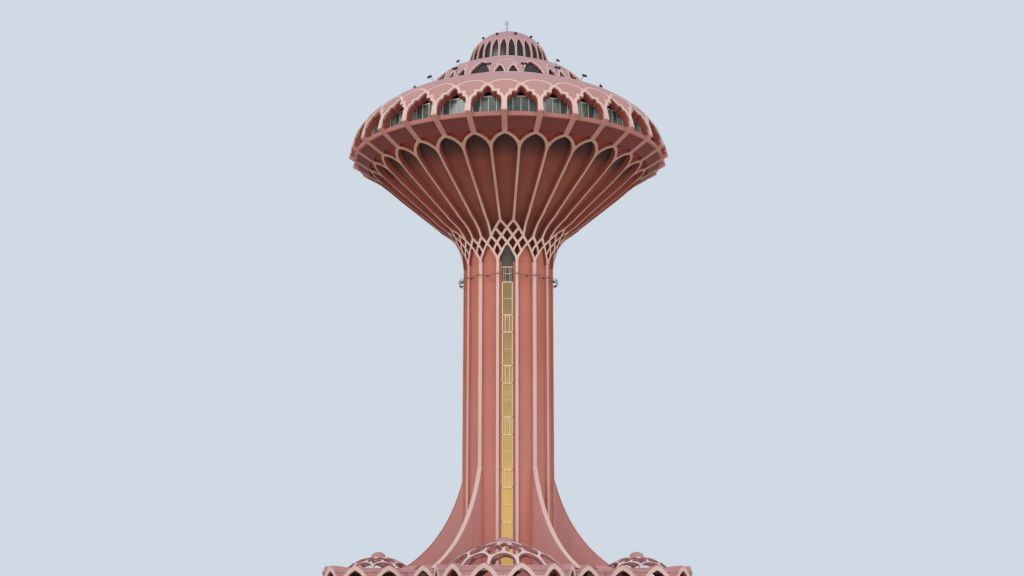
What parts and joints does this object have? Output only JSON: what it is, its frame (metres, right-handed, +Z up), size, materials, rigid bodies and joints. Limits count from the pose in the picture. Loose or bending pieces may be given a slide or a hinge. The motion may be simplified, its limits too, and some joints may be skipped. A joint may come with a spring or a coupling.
{
  "type": "ribbed concrete water tower, 1:10 scale model",
  "caption": "Ribbed pink water tower with a conical bowl, windowed gallery, stepped dome roof, flared fins and arcaded domed pavilions at its foot.",
  "frame": {"origin": "on the tower's axis, on the underside of the shaft's ground floor, at ground level", "axes": "+Z up along the shaft, -Y towards the large front pavilion and the lift glazing, +X to its right"},
  "size_m": [5.246, 5.396, 9.21],
  "materials": {
    "pink_render": "rose-pink painted concrete render, matt",
    "fin_render": "rose-pink painted concrete with a pale edge band, matt",
    "soffit_render": "brown-red painted concrete soffit, matt",
    "pale_trim": "pale sand-pink painted concrete ribs, matt",
    "gallery_render": "red-pink painted concrete, matt",
    "roof_render": "mauve-pink painted render, matt",
    "lantern_render": "mauve-pink painted render, matt",
    "arcade_render": "mauve-pink painted concrete, matt",
    "dome_render": "pale pink painted concrete lattice, matt",
    "floor_concrete": "plain trowelled concrete",
    "gold_glass": "gold-tinted reflective glazing in a pale frame",
    "tinted_glass": "dark green-grey tinted glazing",
    "dark_glass": "near-black tinted glazing",
    "dark_steel": "dark painted steel"
  },
  "bodies": {
    "root": {"shaft_wall_1": "pink_render", "shaft_wall_2": "pink_render", "shaft_wall_3": "pink_render", "shaft_wall_4": "pink_render", "shaft_wall_5": "pink_render", "shaft_fin_1": "fin_render", "shaft_fin_2": "fin_render", "shaft_fin_3": "fin_render", "shaft_fin_4": "fin_render", "shaft_fin_5": "fin_render", "bowl_shell_1": "soffit_render", "bowl_shell_2": "soffit_render", "bowl_shell_3": "soffit_render", "bowl_shell_4": "soffit_render", "bowl_shell_5": "soffit_render", "bowl_rib_net_1": "pale_trim", "bowl_rib_net_2": "pale_trim", "bowl_rib_net_3": "pale_trim", "bowl_rib_net_4": "pale_trim", "bowl_rib_net_5": "pale_trim", "gallery_ring_1": "gallery_render", "gallery_ring_2": "gallery_render", "gallery_ring_3": "gallery_render", "gallery_ring_4": "gallery_render", "gallery_ring_5": "gallery_render", "roof_shell_1": "roof_render", "roof_shell_2": "roof_render", "roof_shell_3": "roof_render", "roof_shell_4": "roof_render", "roof_shell_5": "roof_render", "pavilion_arcade_1": "arcade_render", "pavilion_arcade_2": "arcade_render", "pavilion_arcade_3": "arcade_render", "pavilion_arcade_4": "arcade_render", "pavilion_arcade_5": "arcade_render", "lattice_dome_1": "dome_render", "lattice_dome_2": "dome_render", "lattice_dome_3": "dome_render", "lattice_dome_4": "dome_render", "lattice_dome_5": "dome_render", "link_arcade_1": "arcade_render", "link_arcade_2": "arcade_render", "link_arcade_3": "arcade_render", "link_arcade_4": "arcade_render", "link_arcade_5": "arcade_render", "ground_floor": "floor_concrete", "gallery_floor": "floor_concrete", "lift_glazing": "gold_glass", "gallery_glazing": "tinted_glass", "upper_tier": "roof_render", "upper_tier_glazing": "dark_glass", "lantern": "lantern_render", "lantern_glazing": "dark_glass", "service_ring": "dark_steel", "mast": "dark_steel"}
  },
  "joints": []
}
